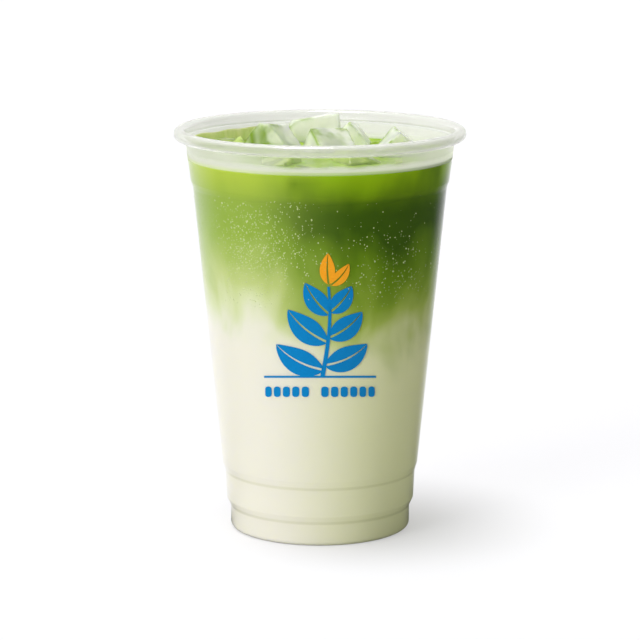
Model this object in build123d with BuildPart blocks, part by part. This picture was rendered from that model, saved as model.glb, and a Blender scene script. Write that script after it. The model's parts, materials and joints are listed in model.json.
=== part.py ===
from build123d import *

import os
from math import cos, pi, radians, sin, tan

# Iced matcha latte in a clear PET cup, with no lid: milk at the bottom, matcha above it, a
# half-mixed layer between them, and ice standing out of the top.
# Millimetres. +Z is up, and the origin is the centre of the plane that the foot rests on.
# The front is towards -Y, and +X is to the right.

# ---- Cup: overall sizes ----
cup_height = 137.0  # resting plane to the top of the rolled rim
rim_diameter = 98.0  # across the rolled rim, the size that a lid snaps onto
foot_diameter = 61.0  # across the straight foot, below the two rings
wall = 0.45  # thickness of the formed sheet

# ---- Cup: rim and collar ----
rim_roll = 4.0  # outside diameter of the rolled edge
roll_turn = 290.0  # how far the edge is rolled, in degrees
collar_drop = 17.4  # top of the rim down to the bottom of the collar
collar_lean = 7.1  # lean of the collar from the vertical, in degrees
collar_step = 0.8  # how far the collar stands out from the wall below it
collar_step_rise = 2.4  # height over which it does

# ---- Cup: the two rings above the foot ----
foot_height = 7.3  # top of the straight foot
ring_rise = 3.0  # height of each ring's slope
lower_ring_step = 1.4  # how far the lower ring's slope stands out
band_height = 9.3  # height of the band between the rings
band_flare = 0.5  # how much the band widens on its way up
upper_ring_step = 0.9  # how far the upper ring's slope stands out

# ---- Cup: the base, pushed up inside the foot ----
foot_ring_width = 3.0  # width of the flat ring that the cup stands on
base_slope_width = 2.4  # from the foot ring in to the base plate
base_lift = 2.4  # height of the base plate above the foot ring
centre_lift = 0.6  # further height of the raised disc in its middle
centre_diameter = 34.0  # across that disc
centre_slope_width = 1.0  # width of the slope round it

# ---- Cup: bend radii, at the middle of the sheet ----
base_bend = 0.6
foot_bend = 1.3
ring_bend = 1.2

# ---- Drink ----
headspace = 10.2  # top of the rim down to the surface of the drink
milk_top = 70.0  # top of the milk, at the axis
milk_lean = 20.0  # fall of the milk's top towards +X, in degrees
swirl_depth = 15.0  # depth of the half-mixed layer, at the axis
swirl_lean = 21.5  # fall of its top towards +X, in degrees
wave_height = 1.5  # how far the two boundaries swell and dip
wave_length = 38.0  # from one swell to the next, across the cup
boundary_points = 9  # points that each boundary's curve passes through

# ---- Ice ----
ice_edge = 14.0  # usual edge of a cube
ice_rounding = 1.2  # radius of the melted edges
ice_wall_gap = 0.6  # least room between the ice and the wall

# Each piece: how far its centre lies to the right, to the back and above the surface, in
# cube edges; its width, depth and height, in cube edges; and its turns about X, then Y,
# then Z, in degrees.
ice_pieces = {
    "ice_back_left": ((-1.17, 1.64, 0.07), (0.93, 0.93, 0.93), (-8, -42, -28)),
    "ice_left": ((-2.00, 0.43, -0.28), (0.93, 0.86, 0.86), (14, -34, 12)),
    "ice_back": ((-0.11, 2.43, 0.14), (1.29, 0.50, 1.00), (-6, -7, -4)),
    "ice_middle": ((0.21, 0.29, -0.02), (1.00, 1.00, 1.00), (30, 6, 34)),
    "ice_back_right": ((0.71, 1.50, 0.12), (0.79, 0.79, 0.79), (4, 46, -8)),
    "ice_right": ((1.86, 0.14, -0.02), (1.00, 1.00, 1.00), (10, 42, 14)),
    "ice_far_right": ((2.14, 1.29, -0.25), (0.71, 0.71, 0.71), (18, 26, 10)),
    "ice_front": ((0.86, -1.14, -0.24), (1.00, 0.93, 0.93), (14, 16, 30)),
    "ice_far_left": ((-2.29, 1.36, -0.10), (0.57, 0.57, 0.71), (-6, 8, -33)),
    "ice_front_left": ((-1.07, -1.36, -0.32), (1.07, 0.93, 0.86), (10, -13, -24)),
    "ice_front_right": ((2.14, -1.50, -0.28), (0.64, 0.71, 0.71), (-8, 9, -35)),
    "ice_back_wall": ((1.57, 2.14, -0.22), (0.64, 0.57, 0.71), (8, -10, -36)),
    "ice_front_wall": ((-0.21, -2.50, -0.39), (0.86, 0.71, 0.79), (12, 10, 8)),
    "ice_left_wall": ((-2.36, -0.86, -0.28), (0.64, 0.79, 0.71), (8, -14, 12)),
}

# ---- Worked out from the sizes above ----
half_wall = wall / 2
surface = cup_height - headspace
swirl_top = milk_top + swirl_depth
reach = rim_diameter  # further than any part of the cup lies from its axis

# The rolled edge: centre and radius of the roll, at the middle of the sheet.
roll_radius = rim_roll / 2 - half_wall
roll_centre_r = rim_diameter / 2 - rim_roll / 2
roll_centre_z = cup_height - rim_roll / 2
roll_start_r = roll_centre_r - roll_radius * cos(radians(collar_lean))
roll_start_z = roll_centre_z + roll_radius * sin(radians(collar_lean))

# The collar and the wall under it.
collar_bottom_z = cup_height - collar_drop
collar_bottom_r = roll_start_r - (roll_start_z - collar_bottom_z) * tan(radians(collar_lean))
wall_top_r = collar_bottom_r - collar_step
wall_top_z = collar_bottom_z - collar_step_rise

# The rings.
foot_r = foot_diameter / 2 - half_wall
band_bottom_r = foot_r + lower_ring_step
band_bottom_z = foot_height + ring_rise
band_top_r = band_bottom_r + band_flare
band_top_z = band_bottom_z + band_height
wall_bottom_r = band_top_r + upper_ring_step
wall_bottom_z = band_top_z + ring_rise

# The base.
foot_ring_r = foot_r - foot_ring_width
base_r = foot_ring_r - base_slope_width
base_z = half_wall + base_lift
centre_r = centre_diameter / 2
centre_z = base_z + centre_lift

# The middle of the sheet, from the centre of the base to the start of the roll: its corners,
# each with the radius of its bend.
sheet_corners = [
    ((centre_r - centre_slope_width, centre_z), base_bend),
    ((centre_r, base_z), base_bend),
    ((base_r, base_z), base_bend),
    ((foot_ring_r, half_wall), base_bend),
    ((foot_r, half_wall), foot_bend),
    ((foot_r, foot_height), ring_bend),
    ((band_bottom_r, band_bottom_z), ring_bend),
    ((band_top_r, band_top_z), ring_bend),
    ((wall_bottom_r, wall_bottom_z), ring_bend),
    ((wall_top_r, wall_top_z), ring_bend),
    ((collar_bottom_r, collar_bottom_z), ring_bend),
]
sheet_points = [(0, centre_z)] + [point for point, bend in sheet_corners]
sheet_points += [(roll_start_r, roll_start_z)]
sheet_bends = [bend for point, bend in sheet_corners]


def boundary(top, lean):
    """The line between two layers, seen from the front: it falls towards +X and swells."""
    points = []
    for step in range(boundary_points):
        x = reach * (step / (boundary_points - 1) - 0.5)
        swell = wave_height * sin(2 * pi * x / wave_length)
        points.append((x, top - x * tan(radians(lean)) + swell))
    return Spline(points)


# ---- The cup ----
with BuildPart() as cup:
    with BuildSketch(Plane.XZ):
        with BuildLine():
            sheet = FilletPolyline(sheet_points, radius=sheet_bends)
            JernArc(start=sheet @ 1, tangent=sheet % 1, radius=roll_radius, arc_size=-roll_turn)
            offset(amount=half_wall, side=Side.BOTH, kind=Kind.ARC)
        make_face()
        # The offset rounds the sheet's end past the axis.
        with Locations((reach / 2, cup_height / 2)):
            Rectangle(reach, 2 * cup_height, mode=Mode.INTERSECT)
    revolve(axis=Axis.Z)
cup.part.label = "cup"

# ---- Room inside the cup, and above it ----
with BuildPart() as room:
    with BuildSketch(Plane.XZ):
        with BuildLine():
            inside = FilletPolyline(sheet_points, radius=sheet_bends)
            Polyline(inside @ 1, (roll_start_r, 2 * cup_height), (0, 2 * cup_height), inside @ 0)
        make_face()
    revolve(axis=Axis.Z)
    add(cup.part, mode=Mode.SUBTRACT)

# ---- Room for the ice: the same space, drawn in from the wall ----
ice_margin = half_wall + ice_wall_gap
with BuildPart() as ice_room:
    with BuildSketch(Plane.XZ):
        with BuildLine():
            Polyline(
                (0, wall_bottom_z),
                (wall_bottom_r - ice_margin, wall_bottom_z),
                (wall_top_r - ice_margin, wall_top_z),
                (roll_start_r - ice_margin, roll_start_z),
                (roll_start_r - ice_margin, 2 * cup_height),
                (0, 2 * cup_height),
                close=True,
            )
        make_face()
    revolve(axis=Axis.Z)

# ---- The ice ----
ice = []
for name, (place, edges, turns) in ice_pieces.items():
    right, back, rise = (ice_edge * share for share in place)
    with BuildPart() as piece:
        with Locations(Location((right, back, surface + rise), turns, Extrinsic.XYZ)):
            Box(*(ice_edge * share for share in edges))
        fillet(piece.edges(), radius=ice_rounding)
        add(ice_room.part, mode=Mode.INTERSECT)
    piece.part.label = name
    ice.append(piece.part)

# ---- The drink: each layer runs right across the cup, and the ice stands in it ----
layer_bounds = {
    "milk_layer": (None, (milk_top, milk_lean)),
    "swirl_layer": ((milk_top, milk_lean), (swirl_top, swirl_lean)),
    "matcha_layer": ((swirl_top, swirl_lean), None),
}
layers = []
for name, (below, above) in layer_bounds.items():
    with BuildPart() as layer:
        with BuildSketch(Plane.XZ):
            with BuildLine():
                low = boundary(*below) if below else Line((-reach / 2, 0), (reach / 2, 0))
                high = boundary(*above) if above else Line((-reach / 2, surface), (reach / 2, surface))
                Line(low @ 0, high @ 0)
                Line(low @ 1, high @ 1)
            make_face()
        extrude(amount=reach, both=True)
        add(room.part, mode=Mode.INTERSECT)
        add(ice, mode=Mode.SUBTRACT)
    layer.part.label = name
    layers.append(layer.part)

# ---- Files ----
os.makedirs("parts", exist_ok=True)
for solid in [cup.part] + layers + ice:
    export_step(solid, f"parts/{solid.label}.step")
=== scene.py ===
import json
import math

import bmesh
import bpy
import numpy as np
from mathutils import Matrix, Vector, noise
from mathutils.bvhtree import BVHTree

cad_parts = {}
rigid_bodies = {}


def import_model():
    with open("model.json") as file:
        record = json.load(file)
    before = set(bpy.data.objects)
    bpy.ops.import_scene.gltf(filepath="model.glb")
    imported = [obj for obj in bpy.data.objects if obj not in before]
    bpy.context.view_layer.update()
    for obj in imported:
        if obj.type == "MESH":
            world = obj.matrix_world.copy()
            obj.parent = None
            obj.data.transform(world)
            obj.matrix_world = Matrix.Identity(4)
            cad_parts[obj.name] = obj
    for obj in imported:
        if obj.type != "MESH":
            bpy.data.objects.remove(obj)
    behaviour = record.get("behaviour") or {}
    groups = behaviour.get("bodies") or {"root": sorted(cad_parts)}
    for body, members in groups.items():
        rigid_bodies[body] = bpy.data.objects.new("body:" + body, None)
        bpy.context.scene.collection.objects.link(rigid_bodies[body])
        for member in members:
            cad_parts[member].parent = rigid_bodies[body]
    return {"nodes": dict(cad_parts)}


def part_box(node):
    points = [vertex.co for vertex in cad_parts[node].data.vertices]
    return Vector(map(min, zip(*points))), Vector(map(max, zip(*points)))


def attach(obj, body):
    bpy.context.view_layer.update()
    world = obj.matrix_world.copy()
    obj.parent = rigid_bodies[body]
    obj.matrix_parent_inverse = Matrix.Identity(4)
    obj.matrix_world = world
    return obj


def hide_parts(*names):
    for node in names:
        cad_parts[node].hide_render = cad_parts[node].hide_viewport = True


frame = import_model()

# Iced matcha latte in a clear PET cup. The CAD frame gives the cup, the three layers of the
# drink and the ice. Here they get their looks: formed plastic, a drink whose milk and matcha
# run into each other, ice that has begun to melt, a screen print and condensation.
# Lengths are in metres, +Z is up, and the front is towards -Y.

bl_info = {
    "name": "Iced matcha latte",
    "version": (1, 0, 0),
    "blender": (4, 5, 0),
    "location": "View3D > Sidebar > Latte",
    "description": "Looks for an iced matcha latte in a clear cup",
    "category": "Object",
}

MM = 0.001
BODY = "root"
CUP_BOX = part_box("cup")
CUP_HEIGHT = CUP_BOX[1].z
RIM_RADIUS = (CUP_BOX[1].x - CUP_BOX[0].x) / 2
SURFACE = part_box("matcha_layer")[1].z
ICE_NODES = sorted(name for name in frame["nodes"] if name.startswith("ice_"))


def linear(hex_colour):
    """An sRGB hex colour as linear red, green, blue and a full alpha."""
    shares = [int(hex_colour[i : i + 2], 16) / 255 for i in (1, 3, 5)]
    light = [s / 12.92 if s <= 0.04045 else ((s + 0.055) / 1.055) ** 2.4 for s in shares]
    return (*light, 1.0)


# ---- What a user would change ----


def length(name, description, value):
    return bpy.props.FloatProperty(
        name=name,
        description=description,
        default=value,
        min=0.0,
        subtype="DISTANCE",
        unit="LENGTH",
    )


def colour(name, description, value):
    return bpy.props.FloatVectorProperty(
        name=name,
        description=description,
        default=linear(value),
        size=4,
        min=0.0,
        max=1.0,
        subtype="COLOR",
    )


class LatteCupSizes(bpy.types.PropertyGroup):
    """The formed cup, which repeats the sizes of the CAD cup."""

    wall: length("Wall", "Thickness of the formed sheet", 0.45 * MM)
    rim_roll: length("Rim roll", "Outside diameter of the rolled edge", 4.0 * MM)
    collar_drop: length("Collar", "Top of the rim down to the bottom of the collar", 17.4 * MM)
    collar_step: length("Collar step", "How far the collar stands out", 0.8 * MM)
    foot_diameter: length("Foot", "Across the straight foot", 61.0 * MM)
    foot_height: length("Foot height", "Height of the straight foot", 7.3 * MM)
    band_height: length("Band", "Height of the band between the rings", 9.3 * MM)


class LatteDrinkSizes(bpy.types.PropertyGroup):
    """How the drink stands in the cup and how its layers run into each other."""

    overlap: length("Overlap", "How far the drink reaches into the wall", 0.3 * MM)
    meniscus: length("Meniscus", "How far the drink climbs the wall and the ice", 1.1 * MM)
    blend_height: length("Blend height", "Middle of the mixing zone, at the axis", 84.5 * MM)
    blend_depth: length("Blend depth", "Height over which milk turns to matcha", 50.0 * MM)


class LatteIceSizes(bpy.types.PropertyGroup):
    """How far the ice has melted."""

    chip: length("Chip", "Deepest cut off a cube's corners", 2.2 * MM)
    unevenness: length("Unevenness", "How far melted faces swell and dip", 0.14 * MM)


class LattePrintSizes(bpy.types.PropertyGroup):
    """The sprig printed on the front."""

    width: length("Width", "Across the print", 38.6 * MM)
    foot: length("Foot", "Height of the lowest edge of the print", 52.2 * MM)
    ink: length("Ink", "Thickness of the ink film", 0.03 * MM)


class LatteDropletSizes(bpy.types.PropertyGroup):
    """Condensation on the outside of the cup."""

    radius: length("Radius", "Radius of a usual droplet", 0.15 * MM)
    count: bpy.props.IntProperty(
        name="Count", description="Number of droplets", default=2400, min=0, max=2500
    )


class LatteColours(bpy.types.PropertyGroup):
    """Colours of the drink, the ice and the print."""

    milk: colour("Milk", "Cool milk on the lit side", "#F5F2E2")
    # Painted shade: the yellow-green that the milk shows on its shaded side.
    milk_shade_tint: colour("Tinted milk", "Milk with matcha behind it", "#EEF2B8")
    # Pale and deep matcha differ partly in milk and partly by painted shade: pale on the lit left,
    # deep on the shaded right.
    matcha_pale_and_lit: colour("Pale matcha", "Matcha with more milk in it", "#98B54C")
    matcha_deep_and_shaded: colour("Deep matcha", "Matcha with little milk in it", "#41610A")
    matcha_top: colour("Bright matcha", "Matcha just under the surface", "#9BC40C")
    ice: colour("Ice", "Cloudy core of the ice", "#F6F9EC")
    washed_ice: colour("Washed ice", "Ice that lies in the matcha", "#C6DC74")
    # Painted refraction: the yellow-green painted along the ice's edges.
    ice_edge_refraction: colour("Ice edge", "Matcha clinging along the edges of the ice", "#86A32E")
    ink_blue: colour("Blue ink", "Main colour of the print", "#0085C8")
    ink_orange: colour("Orange ink", "Accent of the print", "#FFAA22")


# ---- Small tools ----


def add(tree, kind, inputs=(), stops=(), **settings):
    """Adds a node with its own settings, its ramp stops, and values or links for its inputs, by
    name or in order. A node given as a value is linked from the output that it has in use."""
    node = tree.nodes.new("ShaderNode" + kind)
    for name, value in settings.items():
        setattr(node, name, value)
    for name, value in inputs.items() if isinstance(inputs, dict) else enumerate(inputs):
        if isinstance(value, bpy.types.Node):
            value = next(output for output in value.outputs if output.enabled)
        if isinstance(value, bpy.types.NodeSocket):
            tree.links.new(value, node.inputs[name])
        else:
            node.inputs[name].default_value = value
    if stops:
        elements = node.color_ramp.elements
        while len(elements) < len(stops):
            elements.new(1.0)
        for element, (position, value) in zip(elements, stops):
            element.position = position
            element.color = value
    return node


def new_material(name):
    """An empty node material, its tree, and the place on the piece in millimetres."""
    material = bpy.data.materials.new(name)
    material.use_nodes = True
    tree = material.node_tree
    tree.nodes.clear()
    place = add(tree, "TexCoord").outputs["Object"]
    scaled = add(tree, "VectorMath", {0: place, "Scale": 1 / MM}, operation="SCALE")
    return material, tree, scaled


def let_lamps_through(tree, surface, tint):
    """Clear things let lamp light and scattered light pass straight, so what is in them is lit."""
    clear = add(tree, "BsdfTransparent", {"Color": tint})
    rays = add(tree, "LightPath").outputs
    lit = add(tree, "MixShader", (rays["Is Shadow Ray"], surface, clear))
    soft = add(tree, "MixShader", (rays["Is Diffuse Ray"], lit, clear))
    add(tree, "OutputMaterial", {"Surface": soft})


def rounded(corners, steps=5):
    """A line through corners, each with its bend radius, with every bend turned into an arc."""
    points = [np.array(corners[0][0], float)]
    for (before, _), (corner, bend), (after, _) in zip(corners, corners[1:], corners[2:]):
        corner = np.array(corner, float)
        back = np.array(before, float) - corner
        ahead = np.array(after, float) - corner
        room = 0.49 * min(np.linalg.norm(back), np.linalg.norm(ahead))
        back /= np.linalg.norm(back)
        ahead /= np.linalg.norm(ahead)
        half_angle = math.acos(np.clip(back @ ahead, -1, 1)) / 2
        reach = min(bend / math.tan(half_angle), room)
        bend = reach * math.tan(half_angle)
        middle = (back + ahead) / np.linalg.norm(back + ahead)
        centre = corner + middle * bend / math.sin(half_angle)
        start = corner + back * reach - centre
        end = corner + ahead * reach - centre
        turn = math.atan2(start[0] * end[1] - start[1] * end[0], start @ end)
        for step in range(steps + 1):
            angle = turn * step / steps
            cos, sin = math.cos(angle), math.sin(angle)
            points.append(
                centre + (start[0] * cos - start[1] * sin, start[0] * sin + start[1] * cos)
            )
    points.append(np.array(corners[-1][0], float))
    return np.array(points)


def offset(line, distance):
    """The line moved sideways, to its right as it runs for a positive distance."""
    along = np.gradient(line, axis=0)
    along /= np.linalg.norm(along, axis=1)[:, None]
    return line + distance * np.column_stack([along[:, 1], -along[:, 0]])


def cup_line(sizes):
    """The middle of the formed sheet, from the centre of the base to the start of the roll,
    and the roll's centre and radius."""
    half = sizes.wall / 2
    lean = math.radians(7.1)
    ring_rise = 3.0 * MM
    heel, push_up = 3.0 * MM, 2.4 * MM
    dome_radius, dome_rise = 16.0 * MM, 0.6 * MM
    roll_radius = sizes.rim_roll / 2 - half
    roll_centre = np.array([RIM_RADIUS - sizes.rim_roll / 2, CUP_HEIGHT - sizes.rim_roll / 2])
    roll_start = roll_centre + roll_radius * np.array([-math.cos(lean), math.sin(lean)])
    collar_z = CUP_HEIGHT - sizes.collar_drop
    collar_r = roll_start[0] - (roll_start[1] - collar_z) * math.tan(lean)
    foot_r = sizes.foot_diameter / 2 - half
    band_r = foot_r + 1.4 * MM
    band_z = sizes.foot_height + ring_rise
    band_top_z = band_z + sizes.band_height
    base_z = half + push_up
    bend, foot_bend, ring_bend = 0.6 * MM, 1.3 * MM, 1.2 * MM
    corners = [
        ((0.0, base_z + dome_rise), 0),
        ((dome_radius, base_z + dome_rise), bend),
        ((dome_radius + 1.0 * MM, base_z), bend),
        ((foot_r - heel - push_up, base_z), bend),
        ((foot_r - heel, half), bend),
        ((foot_r, half), foot_bend),
        ((foot_r, sizes.foot_height), ring_bend),
        ((band_r, band_z), ring_bend),
        ((band_r + 0.5 * MM, band_top_z), ring_bend),
        ((band_r + 1.4 * MM, band_top_z + ring_rise), ring_bend),
        ((collar_r - sizes.collar_step, collar_z - 2.4 * MM), ring_bend),
        ((collar_r, collar_z), ring_bend),
        (tuple(roll_start), 0),
    ]
    return rounded(corners), roll_centre, roll_radius


def outer_wall_radius(sizes, heights):
    """Radius of the cup's outer face at each height between the rings and the collar."""
    line = offset(cup_line(sizes)[0], sizes.wall / 2)
    high = line[np.argmax(line[:, 1] > 1 * MM) :]
    return np.interp(heights, high[:, 1], high[:, 0])


def finer(line, step):
    """The same line with no run longer than step."""
    points = [line[0]]
    for start, end in zip(line, line[1:]):
        count = max(1, math.ceil(np.linalg.norm(end - start) / step))
        points += [start + (end - start) * k / count for k in range(1, count + 1)]
    return np.array(points)


def lathe(profile, segments):
    """A bmesh made by turning a profile of radius and height; ends on the axis close up."""
    bm = bmesh.new()
    rings = []
    for radius, height in profile:
        if radius < 1e-7:
            rings.append([bm.verts.new((0, 0, height))])
            continue
        angles = [2 * math.pi * k / segments for k in range(segments)]
        rings.append(
            [bm.verts.new((radius * math.cos(a), radius * math.sin(a), height)) for a in angles]
        )
    for low, high in zip(rings, rings[1:]):
        for k in range(segments):
            after = (k + 1) % segments
            corners = [low[k % len(low)], low[after % len(low)]]
            corners += [high[after % len(high)], high[k % len(high)]]
            bm.faces.new(list(dict.fromkeys(corners)))
    return bm


def mesh_from(bm, name, outwards=True):
    """A mesh from a bmesh, which is then freed. Its faces are first turned outwards."""
    if outwards:
        bmesh.ops.recalc_face_normals(bm, faces=bm.faces)
    mesh = bpy.data.meshes.new(name)
    bm.to_mesh(mesh)
    bm.free()
    return mesh


def placed(name, data):
    """A new object in the scene."""
    thing = bpy.data.objects.new(name, data)
    bpy.context.scene.collection.objects.link(thing)
    return thing


def finish_piece(mesh, name, materials, smooth=True):
    """Turns a mesh into a piece that rides on the cup's body."""
    mesh.materials.clear()
    for material in materials:
        mesh.materials.append(material)
    mesh.polygons.foreach_set("use_smooth", [smooth] * len(mesh.polygons))
    piece = placed(name, mesh)
    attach(piece, BODY)
    return piece


def applied(mesh, kind, **settings):
    """A mesh after one modifier."""
    holder = placed("holder", mesh)
    modifier = holder.modifiers.new("step", kind)
    for name, value in settings.items():
        setattr(modifier, name, value)
    bpy.context.view_layer.update()
    graph = bpy.context.evaluated_depsgraph_get()
    result = bpy.data.meshes.new_from_object(holder.evaluated_get(graph))
    bpy.data.objects.remove(holder)
    return result


def points_of(mesh):
    """The mesh's points, one row each."""
    flat = np.zeros(len(mesh.vertices) * 3)
    mesh.vertices.foreach_get("co", flat)
    return flat.reshape(-1, 3)


def mark(mesh, name, values):
    """Gives each point of a mesh a value that its material reads."""
    attribute = mesh.attributes.new(name, "FLOAT", "POINT")
    attribute.data.foreach_set("value", values.astype(np.float32))


# ---- Materials ----

# Settings that many nodes share.
SMOOTH = {"interpolation_type": "SMOOTHSTEP"}
TINTS = {"data_type": "RGBA"}


def thermoformed_pet():
    """PET: clear sheet, drawn over a mould by vacuum. Its faces are glossy but not flat, and
    the wall above the drink and the rolled rim look a little cloudy."""
    material, tree, place = new_material("thermoformed_pet")
    x, y, z = add(tree, "SeparateXYZ", (place,)).outputs
    rim_z = CUP_HEIGHT / MM
    level_z = SURFACE / MM
    ripple = add(tree, "TexNoise", {"Vector": place, "Scale": 1 / 9, "Detail": 1})
    bump = add(tree, "Bump", {"Strength": 0.1, "Distance": 0.1 * MM, "Height": ripple})
    # The rolled edge was heated and turned, which leaves it a little dull.
    dull = add(tree, "MapRange", (z, rim_z - 6, rim_z - 4, 0.03, 0.08), **SMOOTH)
    glass = add(
        tree,
        "BsdfPrincipled",
        {
            "Base Color": (1, 1, 1, 1),
            "Roughness": dull,
            "IOR": 1.57,
            "Transmission Weight": 1.0,
            "Normal": bump,
        },
    )
    # The film left by the drink is lit from behind as well as from in front.
    haze = add(
        tree,
        "BsdfPrincipled",
        {"Base Color": linear("#EFEFE6"), "Roughness": 0.35, "Specular IOR Level": 0.3},
    )
    behind = add(tree, "BsdfTranslucent", {"Color": linear("#EFF1E4")})
    veil = add(tree, "MixShader", (0.5, haze, behind))
    # It is thickest just above the drink, and thin higher up.
    edge = add(tree, "TexNoise", {"Vector": place, "Scale": 1 / 14, "Detail": 2})
    lapped = add(tree, "Math", (edge, -2.4, z), operation="MULTIPLY_ADD")
    height = add(tree, "MapRange", (lapped, level_z - 2, rim_z - 2))
    amounts = ((0.10, 0.76), (0.26, 0.70), (0.40, 0.06), (0.74, 0.06))
    stops = [(at, (amount, amount, amount, 1)) for at, amount in amounts]
    wash = add(tree, "ValToRGB", (height,), stops)
    wet = add(tree, "MapRange", (z, level_z - 0.2, level_z + 0.4), **SMOOTH)
    # Painted reflection: the haze is made thicker towards the sides and the back, so the wall
    # there is painted pale, standing in for the white it reflects.
    aside = add(tree, "Math", (x, 4.0), operation="SUBTRACT")
    sideways = add(tree, "Math", (aside,), operation="ABSOLUTE")
    away = add(tree, "Math", (sideways, y), operation="MAXIMUM")
    painted_side_sheen = add(tree, "MapRange", (away, 12, 36, 0.0, 0.54), **SMOOTH)
    both = add(tree, "Math", (wash, painted_side_sheen), operation="ADD")
    washed = add(tree, "Math", (both, wet), operation="MULTIPLY")
    # The rolled rim above it is evenly milky.
    rim = add(tree, "MapRange", (z, rim_z - 4.6, rim_z - 3.6), **SMOOTH)
    cloud = add(tree, "Mix", {0: rim, 2: washed, 3: 0.23}, data_type="FLOAT")
    mixed = add(tree, "MixShader", (cloud, glass, veil))
    let_lamps_through(tree, mixed, (0.97, 0.97, 0.97, 1))
    return material


def mixing_colour(tree, place, colours, sizes, cup_sizes):
    """Milk below, matcha above, and clouds of each drawn into the other between them. The matcha
    is paler on the left and deeper on the right, partly from more milk on the left and partly as
    painted shade on the right, and the milk is painted yellow-green towards the shaded front
    right."""
    x, y, z = add(tree, "SeparateXYZ", (place,)).outputs
    level_z = SURFACE / MM
    wander = add(tree, "TexNoise", {"Vector": place, "Scale": 1 / 34, "Detail": 1})
    centred = (wander.outputs["Color"], (0.5, 0.5, 0.5))
    drift = add(tree, "VectorMath", centred, operation="SUBTRACT")
    warped = add(tree, "VectorMath", (drift, (22, 22, 14), place), operation="MULTIPLY_ADD")
    tall = add(tree, "VectorMath", (warped, (1, 1, 0.45)), operation="MULTIPLY")
    clouds = add(
        tree, "TexNoise", {"Vector": warped, "Scale": 1 / 26, "Detail": 2, "Roughness": 0.45}
    )
    plumes = add(
        tree, "TexNoise", {"Vector": tall, "Scale": 1 / 10, "Detail": 2, "Roughness": 0.5}
    )

    # Height above the middle of the mixing zone, which falls to the right, rises again towards
    # both sides, and is broken up by the clouds and the plumes.
    fall = add(tree, "Math", (x, 0.2, -sizes.blend_height / MM), operation="MULTIPLY_ADD")
    level = add(tree, "Math", (z, fall), operation="ADD")
    for lift in (
        (x, -34, -14, -2.5, 0),
        (x, 19, 40, 0, -5.5),
        (clouds, 0.3, 0.7, -6, 6),
        (plumes, 0.3, 0.7, -3.5, 3.5),
    ):
        lifted = add(tree, "MapRange", lift)
        level = add(tree, "Math", (level, lifted), operation="ADD")
    half = sizes.blend_depth / 2 / MM
    share = add(tree, "MapRange", (level, -half, half))
    pale, deep = (
        add(
            tree,
            "ValToRGB",
            (share,),
            [*zip((0.12, 0.30, 0.42, 0.58, 0.78), map(linear, shades)), (1.0, strongest)],
        )
        for shades, strongest in (
            (("#EDF0D8", "#DEE7B4", "#CBD98F", "#B3C96C", "#A0BC50"), colours.matcha_pale_and_lit),
            (("#E2E8B0", "#CBD78A", "#B0C45C", "#8EAA36", "#6B8E16"), colours.matcha_deep_and_shaded),
        )
    )
    # From the paler left to the deeper right: partly more milk on the left, partly painted shade
    # on the right, away from the light.
    cloudy_x = add(tree, "Math", (clouds, 14, x), operation="MULTIPLY_ADD")
    side = add(tree, "MapRange", (cloudy_x, -26, 20), **SMOOTH)
    matcha = add(tree, "Mix", {0: side, 6: pale, 7: deep}, **TINTS)
    # Painted shade: the milk is painted yellow-green, the colour it takes on in shade, strongest
    # at the front right and fading round to the back.
    front_right = add(tree, "Math", (y, -0.35, x), operation="MULTIPLY_ADD")
    painted_shade_green = add(tree, "MapRange", (front_right, -9, 43), **SMOOTH)
    milk = add(tree, "Mix", {0: painted_shade_green, 6: colours.milk, 7: colours.milk_shade_tint}, **TINTS)
    mixed = add(tree, "MapRange", (share, 0.02, 0.3), **SMOOTH)
    body = add(tree, "Mix", {0: mixed, 6: milk, 7: matcha}, **TINTS)

    # Light comes in through the surface, so the matcha is brighter just below it, as far as
    # the shoulder of the collar.
    top_line = add(tree, "Math", (plumes, 8, z), operation="MULTIPLY_ADD")
    lit = add(tree, "MapRange", (top_line, level_z - 10.5, level_z + 6.5, 0, 0.97), **SMOOTH)
    shoulder_z = (CUP_HEIGHT - cup_sizes.collar_drop) / MM - 1.5
    collar = add(tree, "MapRange", (z, shoulder_z - 0.8, shoulder_z + 0.8, 0.6, 1.0), **SMOOTH)
    near_top = add(tree, "Math", (lit, collar), operation="MULTIPLY")
    lit_top = add(tree, "Mix", {0: side, 6: linear("#BED44E"), 7: colours.matcha_top}, **TINTS)
    shade = add(tree, "Mix", {0: near_top, 6: body, 7: lit_top}, **TINTS)

    # Painted shade: a thin olive line is painted on the drink at the bends of the two rings, where
    # the bent wall darkens what is seen through it.
    for bend_z in (
        cup_sizes.foot_height / MM + 0.7,
        (cup_sizes.foot_height + cup_sizes.band_height) / MM + 3.4,
    ):
        above = add(tree, "Math", (z, bend_z), operation="SUBTRACT")
        apart = add(tree, "Math", (above,), operation="ABSOLUTE")
        bend_shade_line = add(tree, "MapRange", (apart, 0.2, 0.8, 0.16, 0.0), **SMOOTH)
        shade = add(tree, "Mix", {0: bend_shade_line, 6: shade, 7: linear("#A3A83C")}, **TINTS)

    # Painted shade: the drink is painted dark green at the wall where sunk ice lies close behind
    # it.
    sunk_shade = add(tree, "Attribute", attribute_name="sunk_ice").outputs["Fac"]
    return add(tree, "Mix", {0: sunk_shade, 6: shade, 7: linear("#4C7010")}, **TINTS)


def iced_matcha_milk(colours, sizes, cup_sizes):
    """Milk and stirred matcha behind the wall: cloudy, so light goes in and comes out soft, and
    with no gloss of its own, because the wall wets it."""
    material, tree, place = new_material("iced_matcha_milk")
    drink = add(
        tree,
        "BsdfPrincipled",
        {
            "Base Color": mixing_colour(tree, place, colours, sizes, cup_sizes),
            "Roughness": 0.6,
            "IOR": 1.35,
            "Specular IOR Level": 0.0,
            "Subsurface Weight": 0.4,
            "Subsurface Radius": (1.0, 1.0, 0.6),
            "Subsurface Scale": 2.5 * MM,
        },
    )
    add(tree, "OutputMaterial", {"Surface": drink})
    return material


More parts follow.
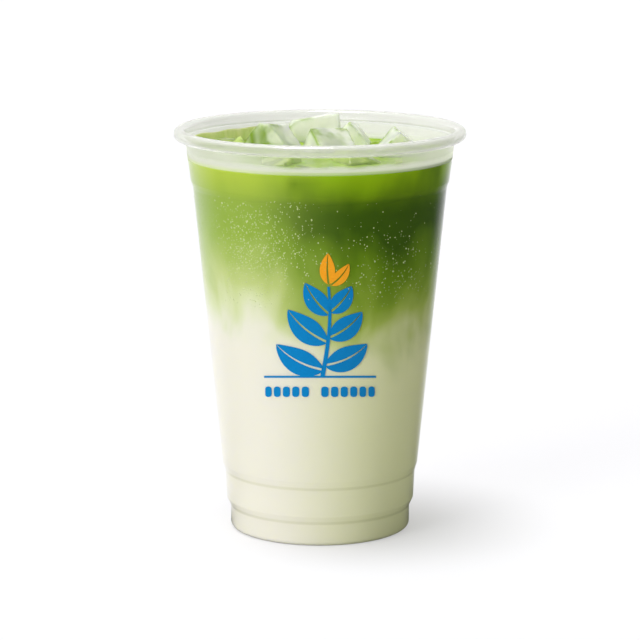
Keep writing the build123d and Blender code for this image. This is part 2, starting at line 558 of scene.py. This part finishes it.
def matcha_surface():
    """The open surface of the drink: wet and level, with a fine powder froth under the gloss."""
    material, tree, place = new_material("matcha_surface")
    froth = add(tree, "TexNoise", {"Vector": place, "Scale": 1 / 5, "Detail": 4})
    tint = add(tree, "ValToRGB", (froth,), [(0.35, linear("#98BC38")), (0.65, linear("#ABC94E"))])
    ripple = add(tree, "TexNoise", {"Vector": place, "Scale": 1 / 7, "Detail": 1})
    bump = add(tree, "Bump", {"Strength": 0.3, "Distance": 0.3 * MM, "Height": ripple})
    drink = add(
        tree,
        "BsdfPrincipled",
        {
            "Base Color": tint,
            "Roughness": 0.18,
            "IOR": 1.35,
            "Specular IOR Level": 0.25,
            "Normal": bump,
        },
    )
    add(tree, "OutputMaterial", {"Surface": drink})
    return material


def matcha_film():
    """Matcha that has run down the inside of the wall: thin, wet and half clear, so the light
    behind it comes through green."""
    material, tree, place = new_material("matcha_film")
    streaks = add(tree, "VectorMath", (place, (0.35, 0.35, 0.08)), operation="MULTIPLY")
    run = add(tree, "TexNoise", {"Vector": streaks, "Scale": 1, "Detail": 2})
    tint = add(tree, "ValToRGB", (run,), [(0.3, linear("#B8DA64")), (0.7, linear("#DCF09A"))])
    film = add(
        tree,
        "BsdfPrincipled",
        {
            "Base Color": tint,
            "Roughness": 0.15,
            "IOR": 1.35,
            "Alpha": 0.62,
            "Subsurface Weight": 1.0,
            "Subsurface Radius": (1.0, 1.0, 0.5),
            "Subsurface Scale": 1.0 * MM,
        },
    )
    add(tree, "OutputMaterial", {"Surface": film})
    return material


def melting_ice(name, core_colour, edge_refraction_colour, least, most):
    """Ice: machine-made cubes, wet and melting. Cloudy with trapped air inside, clearer in
    places, glossy with water, and with its edges painted yellow-green in patches, a painted
    refraction of the drink's green."""
    material, tree, place = new_material(name)
    air = add(tree, "TexNoise", {"Vector": place, "Scale": 1 / 9, "Detail": 1})
    cloudy = add(tree, "MapRange", (air, 0.4, 0.65, least, most), **SMOOTH)
    glass = add(
        tree,
        "BsdfPrincipled",
        {
            "Base Color": linear("#F8FCF0"),
            "Roughness": 0.04,
            "IOR": 1.31,
            "Transmission Weight": 1.0,
        },
    )
    # Painted refraction: the core is painted yellow-green in patches along the edges, standing in
    # for the drink's green bent through them.
    edge = add(tree, "Attribute", attribute_name="cube_edge").outputs["Fac"]
    patchy = add(tree, "TexNoise", {"Vector": place, "Scale": 1 / 6, "Detail": 2})
    edge_patches = add(tree, "MapRange", (patchy, 0.38, 0.6), **SMOOTH)
    along = add(tree, "Math", (edge, edge_patches), operation="MULTIPLY")
    core = add(
        tree,
        "BsdfPrincipled",
        {
            "Base Color": add(tree, "Mix", {0: along, 6: core_colour, 7: edge_refraction_colour}, **TINTS),
            "Roughness": 0.12,
            "IOR": 1.31,
            "Subsurface Weight": 1.0,
            "Subsurface Radius": (1.0, 1.0, 0.8),
            "Subsurface Scale": 3.0 * MM,
        },
    )
    mixed = add(tree, "MixShader", (cloudy, glass, core))
    let_lamps_through(tree, mixed, (0.95, 0.97, 0.92, 1))
    return material


def screen_printed_ink(name, value):
    """UV-cured ink, pulled through a mesh: an even, slightly glossy film with fine mesh marks."""
    material, tree, place = new_material(name)
    # The mesh has threads about 0.07 mm apart; drawn at 0.5 mm, the finest that shows.
    mesh_marks = add(tree, "TexNoise", {"Vector": place, "Scale": 1 / 0.5, "Detail": 2})
    uneven = add(tree, "MapRange", (mesh_marks, 0.3, 0.7, 0.93, 1.05))
    base = add(tree, "Mix", {0: 1.0, 6: value, 7: uneven}, blend_type="MULTIPLY", **TINTS)
    ink = add(
        tree,
        "BsdfPrincipled",
        {"Base Color": base, "Roughness": 0.45, "IOR": 1.5, "Specular IOR Level": 0.15},
    )
    add(tree, "OutputMaterial", {"Surface": ink})
    return material


def condensed_water():
    """Water: droplets condensed from the air, smooth and clear, like small lenses."""
    material, tree, place = new_material("condensed_water")
    size = add(tree, "TexNoise", {"Vector": place, "Scale": 1 / 4, "Detail": 1})
    tint = add(tree, "ValToRGB", (size,), [(0.3, linear("#F4F8F0")), (0.7, linear("#FFFFFF"))])
    water = add(
        tree,
        "BsdfPrincipled",
        {"Base Color": tint, "Roughness": 0.02, "IOR": 1.33, "Transmission Weight": 1.0},
    )
    mist = add(
        tree,
        "BsdfPrincipled",
        {"Base Color": linear("#DCE9A6"), "Roughness": 0.3, "IOR": 1.33},
    )
    # The smallest drops in a patch run together into a pale bloom.
    bloom = add(tree, "MixShader", (0.65, water, mist))
    let_lamps_through(tree, bloom, (1, 1, 1, 1))
    return material


# ---- Pieces ----


class LATTE_OT_cup(bpy.types.Operator):
    """Turns the cup from the formed sheet's line, with its rolled rim"""

    bl_idname = "latte.cup"
    bl_label = "Cup"

    def execute(self, context):
        sizes = context.scene.latte_cup
        line, centre, radius = cup_line(sizes)
        half = sizes.wall / 2
        start = math.atan2(line[-1][1] - centre[1], line[-1][0] - centre[0])
        rolled = 290
        turns = np.radians(np.linspace(0, rolled, 44))[1:]
        roll = np.column_stack(
            [
                centre[0] + radius * np.cos(start - turns),
                centre[1] + radius * np.sin(start - turns),
            ]
        )
        sheet = np.vstack([finer(line, 12 * MM), roll])
        outer = offset(sheet, half)
        inner = offset(sheet, -half)
        # The cut edge at the end of the roll is rounded.
        end = sheet[-1]
        x, y = outer[-1] - end
        cap = [
            end + (x * math.cos(a) - y * math.sin(a), x * math.sin(a) + y * math.cos(a))
            for a in np.linspace(0, math.pi, 7)[1:-1]
        ]
        outer[0][0] = inner[0][0] = 0.0
        profile = np.vstack([outer, cap, inner[::-1]])
        mesh = mesh_from(lathe(profile, 400), "clear_cup")
        piece = finish_piece(mesh, "clear_cup", [thermoformed_pet()])
        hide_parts("cup")
        return {"FINISHED"}


def flat_sides(mesh):
    """Which ways a CAD cube's six flat faces look, from its widest groups of triangles."""
    groups = {}
    for polygon in mesh.polygons:
        key = tuple(round(c, 1) for c in polygon.normal)
        area, normal = groups.get(key, (0.0, Vector()))
        groups[key] = (area + polygon.area, normal + polygon.normal * polygon.area)
    widest = sorted(groups.values(), key=lambda group: -group[0])
    normals = []
    for _, normal in widest:
        direction = normal.normalized()
        if all(direction.dot(other) < 0.8 for other in normals):
            normals.append(direction)
        if len(normals) == 6:
            break
    return normals


def melted_chunk(source, sizes, seed):
    """A melted cube in the place of the CAD cube: its faces lean a little, its corners are
    chipped, it is uneven all over, and its edges are marked."""
    random = np.random.default_rng(seed)
    corners = np.array([v.co for v in source.vertices])
    middle = (corners.max(0) + corners.min(0)) / 2

    def reach(direction):
        return max(Vector(c).dot(direction) for c in corners)

    planes = []
    for normal in flat_sides(source):
        tilt = Vector(random.normal(0, 0.05, 3))
        direction = (normal + tilt).normalized()
        planes.append((direction, reach(direction) - random.uniform(0.1, 0.5) * MM))
    chips = 5
    for _ in range(chips):
        direction = Vector(random.normal(0, 1, 3)).normalized()
        planes.append((direction, reach(direction) - random.uniform(0.35, 1.0) * sizes.chip))
    bm = bmesh.new()
    bmesh.ops.create_cube(bm, size=60 * MM)
    bmesh.ops.translate(bm, verts=bm.verts, vec=Vector(middle))
    for direction, distance in planes:
        geometry = bm.verts[:] + bm.edges[:] + bm.faces[:]
        cut = bmesh.ops.bisect_plane(
            bm,
            geom=geometry,
            plane_co=direction * distance,
            plane_no=direction,
            clear_outer=True,
        )["geom_cut"]
        edges = [e for e in cut if isinstance(e, bmesh.types.BMEdge)]
        if edges:
            bmesh.ops.holes_fill(bm, edges=edges)
    mesh = mesh_from(bm, "chunk")
    mesh = applied(mesh, "REMESH", mode="VOXEL", voxel_size=0.45 * MM, use_smooth_shade=True)
    mesh = applied(mesh, "SMOOTH", factor=0.5, iterations=3)
    shift = Vector((seed * 0.37, seed * 0.61, seed * 0.13))
    for vertex in mesh.vertices:
        swell = noise.noise(vertex.co / (4.5 * MM) + shift)
        vertex.co += vertex.normal * swell * sizes.unevenness
    # How near each point is to an edge, where two faces meet.
    places = points_of(mesh)
    depths = np.array([distance - places @ np.array(direction) for direction, distance in planes])
    second = np.sort(depths, axis=0)[1]
    edge = np.exp(-((np.maximum(second, 0) / (0.9 * MM)) ** 2))
    mark(mesh, "cube_edge", edge)
    return mesh


class LATTE_OT_ice(bpy.types.Operator):
    """Chips and melts each cube of ice, in the space of its CAD solid"""

    bl_idname = "latte.ice"
    bl_label = "Ice"

    def execute(self, context):
        colours = context.scene.latte_colours
        clear = melting_ice("melting_ice", colours.ice, colours.ice_edge_refraction, 0.5, 0.8)
        washed = melting_ice(
            "matcha_washed_ice", colours.washed_ice, colours.ice_edge_refraction, 0.5, 0.85
        )
        # Ice that stands this far out of the drink stays clear of the matcha.
        dry = SURFACE + 7 * MM
        for seed, name in enumerate(ICE_NODES):
            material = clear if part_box(name)[1].z > dry else washed
            mesh = melted_chunk(frame["nodes"][name].data, context.scene.latte_ice, seed)
            piece = finish_piece(mesh, "melted_" + name, [material])
            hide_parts(name)
        return {"FINISHED"}


def joined_ice(inset):
    """All the ice in one bmesh, each face moved in by inset."""
    bm = bmesh.new()
    for name in ICE_NODES:
        mesh = bpy.data.objects["melted_" + name].data.copy()
        for vertex, normal in zip(mesh.vertices, [v.normal.copy() for v in mesh.vertices]):
            vertex.co -= normal * inset
        bm.from_mesh(mesh)
        bpy.data.meshes.remove(mesh)
    return bm


class LATTE_OT_drink(bpy.types.Operator):
    """Fills the cup to its level, with a meniscus and a pocket for each piece of ice"""

    bl_idname = "latte.drink"
    bl_label = "Drink"

    def execute(self, context):
        cup_sizes = context.scene.latte_cup
        sizes = context.scene.latte_drink
        line, _, _ = cup_line(cup_sizes)
        skin = offset(finer(line, 2.6 * MM), -cup_sizes.wall / 2 + sizes.overlap)
        skin[0][0] = 0.0
        edge_z = SURFACE + sizes.meniscus
        # No ring of points comes so near to the edge that its faces would be slivers.
        below = skin[:, 1] < edge_z - 0.3 * MM
        wall, above = skin[below], skin[~below]
        share = (edge_z - wall[-1][1]) / (above[0][1] - wall[-1][1])
        edge = wall[-1] + (above[0] - wall[-1]) * share
        radii = edge[0] * (1 - np.linspace(0, 1, 72)[1:] ** 1.35)
        top = np.column_stack([radii, np.full(len(radii), SURFACE)])
        bm = lathe(np.vstack([wall, [edge], top]), 240)
        ice = joined_ice(0.0)
        tree = BVHTree.FromBMesh(ice)
        ice.free()
        for vertex in bm.verts:
            if abs(vertex.co.z - SURFACE) > 0.01 * MM:
                continue
            gap = edge[0] - vertex.co.xy.length
            near = tree.find_nearest(vertex.co)[3]
            climb = math.exp(-gap / (1.2 * MM)) + 0.8 * math.exp(-near / (0.9 * MM))
            ripple = noise.noise(vertex.co / (9 * MM)) * 0.12 * MM * min(1, gap / (3 * MM))
            vertex.co.z = SURFACE + sizes.meniscus * min(1.0, climb) + ripple
        mesh = mesh_from(bm, "filled")
        # The drink reaches a little into the ice, so that no gap shows between them. The ice's
        # faces look outwards already, and are left as they are.
        cutter = placed("pockets", mesh_from(joined_ice(0.12 * MM), "pockets", outwards=False))
        mesh = applied(
            mesh, "BOOLEAN", operation="DIFFERENCE", solver="MANIFOLD", object=cutter
        )
        bpy.data.objects.remove(cutter)
        if len(mesh.polygons) < 1000:
            raise RuntimeError("the pockets for the ice could not be cut")
        materials = [
            iced_matcha_milk(context.scene.latte_colours, sizes, cup_sizes),
            matcha_surface(),
        ]
        piece = finish_piece(mesh, "drink", materials)
        places = points_of(mesh)
        radius = np.hypot(places[:, 0], places[:, 1])
        skin_radius = np.interp(places[:, 2], skin[:, 1], skin[:, 0])
        on_wall = radius > skin_radius - 0.05 * MM
        near_ice = np.array([tree.find_nearest(Vector(p))[3] for p in places])
        # Painted shade: how much darker the drink is painted where ice lies close to the wall.
        sunk_shade = np.exp(-((near_ice / (2.4 * MM)) ** 2)) * on_wall
        # Deeper down, the cloudy drink between the ice and the wall hides it.
        sunk_shade *= np.clip((places[:, 2] - SURFACE) / (8 * MM) + 1.4, 0, 1) * 0.9
        mark(mesh, "sunk_ice", sunk_shade)
        for polygon in mesh.polygons:
            open_face = not all(on_wall[v] for v in polygon.vertices)
            high = polygon.center.z > SURFACE - 25 * MM
            polygon.material_index = int(open_face and high)
        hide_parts("milk_layer", "swirl_layer", "matcha_layer")
        return {"FINISHED"}


class LATTE_OT_film(bpy.types.Operator):
    """Leaves a film of matcha on the inside of the wall, at the back left, above the drink"""

    bl_idname = "latte.film"
    bl_label = "Film"

    def execute(self, context):
        cup_sizes = context.scene.latte_cup
        line = offset(finer(cup_line(cup_sizes)[0], 2 * MM), -cup_sizes.wall / 2)
        bm = bmesh.new()
        columns = []
        low_z = SURFACE - 0.6 * MM
        # It runs from the back to the left, and thins out towards both ends.
        start, sweep = 96, 100
        rows = 12
        for angle in np.radians(np.linspace(start, start + sweep, 140)):
            across = (math.degrees(angle) - start) / sweep
            fade = min(1.0, across / 0.12, (1 - across) / 0.2)
            wave = noise.noise(Vector((across * 9, 0.3, 0.0)))
            high_z = SURFACE + (0.6 + 4.6 * fade * (1 + 0.14 * wave)) * MM
            column = []
            for k in range(rows + 1):
                share = k / rows
                height = low_z + (high_z - low_z) * share
                wall = float(np.interp(height, line[:, 1], line[:, 0]))
                depth = 0.16 * MM * math.sqrt(1 - share**6)
                column.append(
                    [
                        bm.verts.new((r * math.cos(angle), r * math.sin(angle), height))
                        for r in (wall + 0.03 * MM, wall - depth)
                    ]
                )
            columns.append(column)
        for before, after in zip(columns, columns[1:]):
            for k in range(rows):
                for face in (0, 1):
                    bm.faces.new(
                        [before[k][face], before[k + 1][face], after[k + 1][face], after[k][face]]
                    )
            for k in (0, rows):
                bm.faces.new([before[k][0], before[k][1], after[k][1], after[k][0]])
        for column in (columns[0], columns[-1]):
            for k in range(rows):
                bm.faces.new([column[k][0], column[k][1], column[k + 1][1], column[k + 1][0]])
        finish_piece(mesh_from(bm, "matcha_film"), "matcha_film", [matcha_film()])
        return {"FINISHED"}


def ribbon(bm, near, far, across, place, thickness):
    """A thin solid strip between two lines of points on the flat, bent onto the cup by place."""
    rows = [near + (far - near) * k / across for k in range(across + 1)]
    top = [[bm.verts.new(place(u, v, thickness)) for u, v in row] for row in rows]
    low = [[bm.verts.new(place(u, v, 0.0)) for u, v in row] for row in rows]
    last, count = across, len(near)
    for k in range(across):
        for i in range(count - 1):
            bm.faces.new([top[k][i], top[k][i + 1], top[k + 1][i + 1], top[k + 1][i]])
            bm.faces.new([low[k][i], low[k + 1][i], low[k + 1][i + 1], low[k][i + 1]])
    for i in range(count - 1):
        bm.faces.new([top[0][i], low[0][i], low[0][i + 1], top[0][i + 1]])
        bm.faces.new([top[last][i], top[last][i + 1], low[last][i + 1], low[last][i]])
    for k in range(across):
        bm.faces.new([top[k][0], top[k + 1][0], low[k + 1][0], low[k][0]])
        bm.faces.new([top[k][-1], low[k][-1], low[k + 1][-1], top[k + 1][-1]])


def leaf(root, heading, size, width, bend, vein):
    """The two halves of a leaf, each as its vein side and its outer side, in millimetres."""
    shares = np.linspace(0, 1, 25)
    angles = math.radians(heading) + math.radians(bend) * (shares - 0.3)
    steps = size / 24 * np.column_stack([np.cos(angles), np.sin(angles)])
    spine = np.array(root) + np.vstack([[0, 0], np.cumsum(steps[:-1], axis=0)])
    side = np.column_stack([-np.sin(angles), np.cos(angles)])
    half = width / 2 * np.sin(np.pi * shares**0.85) ** 0.8
    gap = np.minimum(vein / 2 * (1 - shares) ** 0.5, half)
    return [
        (spine + side * (gap * sign)[:, None], spine + side * (half * sign)[:, None])
        for sign in (1, -1)
    ]


class LATTE_OT_print(bpy.types.Operator):
    """Prints a plain tea sprig over a line and a row of bars on the front of the cup"""

    bl_idname = "latte.print"
    bl_label = "Print"

    def execute(self, context):
        sizes = context.scene.latte_print
        cup_sizes = context.scene.latte_cup
        colours = context.scene.latte_colours
        heights = np.linspace(30, 115, 80) * MM
        radii = outer_wall_radius(cup_sizes, heights)

        def place(u, v, lift):
            """Millimetres across and up the print, bent onto the cup's outer face."""
            height = sizes.foot + v * MM
            radius = float(np.interp(height, heights, radii))
            angle = u * MM / radius
            reach = radius + 0.01 * MM + lift
            # The artwork is drawn bowed, so that its level lines look straight on the cone.
            height -= 0.215 * radius * (1 - math.cos(angle))
            return Vector((reach * math.sin(angle), -reach * math.cos(angle), height))

        half = sizes.width / 2 / MM
        blue = []
        # A row of eleven rounded bars, with a gap after the fifth.
        pitch = sizes.width / MM / 12
        bar_z, bar_half, bar_share = 2.0, 1.8, 0.76
        for k in range(12):
            if k == 5:
                continue
            middle = -half + pitch * (k + 0.5)
            shares = np.cos(np.linspace(math.pi, 0, 13))
            rise = bar_half * np.sqrt(np.clip(1 - shares**2, 0, 1)) ** 0.4
            across = middle + shares * pitch * bar_share / 2
            blue.append([np.column_stack([across, bar_z + s * rise]) for s in (1, -1)])
        # The line under the sprig.
        line_top, line_foot = 7.5, 6.8
        across = np.linspace(-half, half, 60)
        blue.append([np.column_stack([across, across * 0 + z]) for z in (line_top, line_foot)])
        # The stem, with a slow curve, and its leaves in pairs.
        rise = np.linspace(0, 1, 40)
        stem = np.column_stack([0.8 + 2.4 * np.sin(rise * 2.2), 7.2 + 30.5 * rise])
        half_width = (1.5 - 0.7 * rise)[:, None] / 2
        blue.append((offset(stem, -half_width), offset(stem, half_width)))
        for share, heading, size, width, bend in (
            (0.10, 158, 18.5, 8.6, -38),
            (0.14, 20, 16.5, 8.2, 38),
            (0.40, 146, 17.5, 8.4, -34),
            (0.44, 32, 14.5, 7.6, 34),
            (0.70, 132, 13.5, 7.0, -28),
            (0.74, 46, 11.5, 6.4, 28),
        ):
            root = stem[int(share * 39)]
            blue += leaf(root, heading, size, width, bend, 0.8)
        orange = leaf(stem[-1] + (0.1, 0.8), 94, 10.5, 5.0, -16, 0.7)
        orange += leaf(stem[-1] + (0.7, 0.6), 44, 9.5, 4.2, 34, 0.6)
        for name, patches, value in (
            ("print_blue", blue, colours.ink_blue),
            ("print_orange", orange, colours.ink_orange),
        ):
            bm = bmesh.new()
            for near, far in patches:
                ribbon(bm, near, far, 3, place, sizes.ink)
            bmesh.ops.remove_doubles(bm, verts=bm.verts, dist=0.002 * MM)
            ink = screen_printed_ink("screen_printed_ink_" + name, value)
            finish_piece(mesh_from(bm, name), name, [ink], smooth=False)
        return {"FINISHED"}


class LATTE_OT_droplets(bpy.types.Operator):
    """Scatters condensation over the outside of the cup, thickest at the sides of the print"""

    bl_idname = "latte.droplets"
    bl_label = "Condensation"

    def execute(self, context):
        sizes = context.scene.latte_droplets
        random = np.random.default_rng(7)
        lowest, highest = 82, 118
        heights = np.linspace(lowest, highest, 100) * MM
        radii = outer_wall_radius(context.scene.latte_cup, heights)
        drop = bmesh.new()
        bmesh.ops.create_icosphere(drop, subdivisions=2, radius=1.0)
        shape = np.array([v.co for v in drop.verts])
        faces = [[v.index for v in f.verts] for f in drop.faces]
        drop.free()
        # Patches where the mist has gathered: degrees from the front, height in millimetres,
        # the spreads of both, and the patch's share of the droplets.
        patches = [
            (-34, 101, 12, 10, 0.42),
            (-16, 106, 9, 9, 0.14),
            (34, 94, 13, 12, 0.14),
            (40, 84, 14, 10, 0.05),
            (110, 95, 24, 14, 0.10),
            (175, 92, 28, 16, 0.12),
            (-115, 96, 24, 15, 0.08),
        ]
        shares = np.array([patch[4] for patch in patches])
        up = np.array([0.0, 0.0, 1.0])
        points, polygons = [], []
        for _ in range(sizes.count):
            patch = patches[random.choice(len(patches), p=shares / shares.sum())]
            angle, height, spread, rise = patch[:4]
            turn = math.radians(random.normal(angle, spread))
            z = random.normal(height, rise) * MM
            radius = sizes.radius * min(1.8, random.lognormal(-0.2, 0.4))
            flat = random.uniform(0.45, 0.6)
            run = random.uniform(1.0, 1.35)
            if not heights[0] < z < heights[-1]:
                continue
            wall = float(np.interp(z, heights, radii))
            out = np.array([math.sin(turn), -math.cos(turn), 0.0])
            side = np.array([math.cos(turn), math.sin(turn), 0.0])
            centre = out * (wall - 0.1 * radius) + up * z
            base = len(points) * len(shape)
            points.append(
                centre
                + radius
                * (
                    shape[:, :1] * side
                    + shape[:, 1:2] * flat * out
                    + shape[:, 2:] * run * up
                )
            )
            polygons += [[base + i for i in face] for face in faces]
        mesh = bpy.data.meshes.new("condensation")
        mesh.from_pydata([tuple(p) for p in np.vstack(points)], [], polygons)
        finish_piece(mesh, "condensation", [condensed_water()])
        return {"FINISHED"}


# ---- Stage ----


def seen_rays(tree):
    """1 for rays that show the white background: from the camera, off gloss and through glass."""
    rays = add(tree, "LightPath").outputs
    direct = (rays["Is Camera Ray"], rays["Is Glossy Ray"])
    direct = add(tree, "Math", direct, operation="MAXIMUM")
    return add(tree, "Math", (direct, rays["Is Transmission Ray"]), operation="MAXIMUM")


def mirrored_dark(tree, place):
    """How dark gloss finds the studio on a side: light at the back, the left and above, where
    the backdrop and the lamps are, and dark at the front and the right."""
    direction = add(tree, "VectorMath", (place,), operation="NORMALIZE")
    towards_light = add(
        tree, "VectorMath", (direction, (-0.25, 0.95, 0.75)), operation="DOT_PRODUCT"
    )
    dark = add(tree, "MapRange", (towards_light, 0.3, 0.95, 0.93, 0.0), **SMOOTH)
    glossy = add(tree, "LightPath").outputs["Is Glossy Ray"]
    return add(tree, "Math", (dark, glossy), operation="MULTIPLY")


class LATTE_OT_stage(bpy.types.Operator):
    """Sets out the pale floor, the soft lamps, the world and the camera"""

    bl_idname = "latte.stage"
    bl_label = "Stage"

    def execute(self, context):
        scene = context.scene
        scene.view_settings.view_transform = "Standard"

        floor_mesh = bpy.data.meshes.new("floor")
        reach = 9.0
        floor_mesh.from_pydata(
            [(-reach, -reach, 0), (reach, -reach, 0), (reach, reach, 0), (-reach, reach, 0)],
            [],
            [(0, 1, 2, 3)],
        )
        material, tree, place = new_material("matt_white_card")
        paper = add(tree, "BsdfDiffuse", {"Color": linear("#C8C8CA")})
        glow = add(tree, "Emission", {"Color": linear("#FDFCFF"), "Strength": 0.395})
        lift = add(tree, "MixShader", {0: seen_rays(tree), 2: glow})
        both = add(tree, "AddShader", (paper, lift))
        # What gloss mirrors of the floor is as bright as the studio on that side.
        dim = add(tree, "BsdfDiffuse", {"Color": (0, 0, 0, 1)})
        card = add(tree, "MixShader", (mirrored_dark(tree, place), both, dim))
        add(tree, "OutputMaterial", {"Surface": card})
        floor_mesh.materials.append(material)
        placed("floor", floor_mesh)

        world = bpy.data.worlds.new("studio")
        world.use_nodes = True
        tree = world.node_tree
        tree.nodes.clear()
        direction = add(tree, "TexCoord").outputs["Generated"]
        strength = add(tree, "Math", (1.0, mirrored_dark(tree, direction)), operation="SUBTRACT")
        ambient = add(tree, "Background", {"Color": (1, 1, 1, 1), "Strength": 0.36})
        white = add(tree, "Background", {"Color": linear("#FDFCFF"), "Strength": strength})
        sky = add(tree, "MixShader", (seen_rays(tree), ambient, white))
        add(tree, "OutputWorld", {"Surface": sky})
        scene.world = world

        # One soft lamp stands high at the left. A lower one at the front left models the sides
        # of the cup, and is too wide to be seen as a spot in the plastic. A weak one fills the
        # back. Each has its strength, its width, its angle round from the front to the left,
        # its height as an angle, and whether gloss and glass show it.
        for name, energy, width, azimuth, elevation, shown in (
            ("high_lamp", 1.86, 24, 84, 83, True),
            ("side_lamp", 2.46, 32, 46, 5, False),
            ("fill_lamp", 0.62, 90, 170, 15, False),
        ):
            light = bpy.data.lights.new(name, "SUN")
            light.energy = energy
            light.angle = math.radians(width)
            lamp = placed(name, light)
            around, up = math.radians(azimuth), math.radians(elevation)
            towards = Vector(
                (-math.sin(around) * math.cos(up), -math.cos(around) * math.cos(up), math.sin(up))
            )
            lamp.rotation_euler = towards.to_track_quat("Z", "Y").to_euler()
            lamp.location = towards
            lamp.visible_glossy = shown
            lamp.visible_transmission = shown

        camera = bpy.data.cameras.new("camera")
        camera.lens = 167.6
        camera.sensor_width = 36.0
        camera.clip_end = 50.0
        holder = placed("camera", camera)
        holder.location = (0.0, -0.9913, 0.2666)
        holder.rotation_euler = (math.radians(90 - 11.16), 0.0, 0.0)
        scene.camera = holder
        return {"FINISHED"}


# ---- Add-on ----


class LATTE_PT_pieces(bpy.types.Panel):
    """Lists the pieces of the drink, with their sizes and colours"""

    bl_idname = "LATTE_PT_pieces"
    bl_label = "Iced matcha latte"
    bl_space_type = "VIEW_3D"
    bl_region_type = "UI"
    bl_category = "Latte"

    def draw(self, context):
        for operator in OPERATORS:
            self.layout.operator(operator.bl_idname)
        for name in GROUPS:
            box = self.layout.box()
            group = getattr(context.scene, name)
            for key in group.bl_rna.properties.keys():
                if key not in ("rna_type", "name"):
                    box.prop(group, key)


GROUPS = {
    "latte_cup": LatteCupSizes,
    "latte_drink": LatteDrinkSizes,
    "latte_ice": LatteIceSizes,
    "latte_print": LattePrintSizes,
    "latte_droplets": LatteDropletSizes,
    "latte_colours": LatteColours,
}
# In the order they are made: the drink's pockets need the ice.
OPERATORS = (
    LATTE_OT_cup,
    LATTE_OT_ice,
    LATTE_OT_drink,
    LATTE_OT_film,
    LATTE_OT_print,
    LATTE_OT_droplets,
    LATTE_OT_stage,
)


def register():
    for group in GROUPS.values():
        bpy.utils.register_class(group)
    for name, group in GROUPS.items():
        setattr(bpy.types.Scene, name, bpy.props.PointerProperty(type=group))
    for operator in OPERATORS:
        bpy.utils.register_class(operator)
    bpy.utils.register_class(LATTE_PT_pieces)


def unregister():
    bpy.utils.unregister_class(LATTE_PT_pieces)
    for operator in reversed(OPERATORS):
        bpy.utils.unregister_class(operator)
    for name in GROUPS:
        delattr(bpy.types.Scene, name)
    for group in reversed(list(GROUPS.values())):
        bpy.utils.unregister_class(group)


def main():
    register()
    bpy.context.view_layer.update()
    bpy.ops.latte.cup()
    bpy.ops.latte.ice()
    bpy.ops.latte.drink()
    bpy.ops.latte.film()
    bpy.ops.latte.print()
    bpy.ops.latte.droplets()
    bpy.ops.latte.stage()


if __name__ == "__main__":
    main()
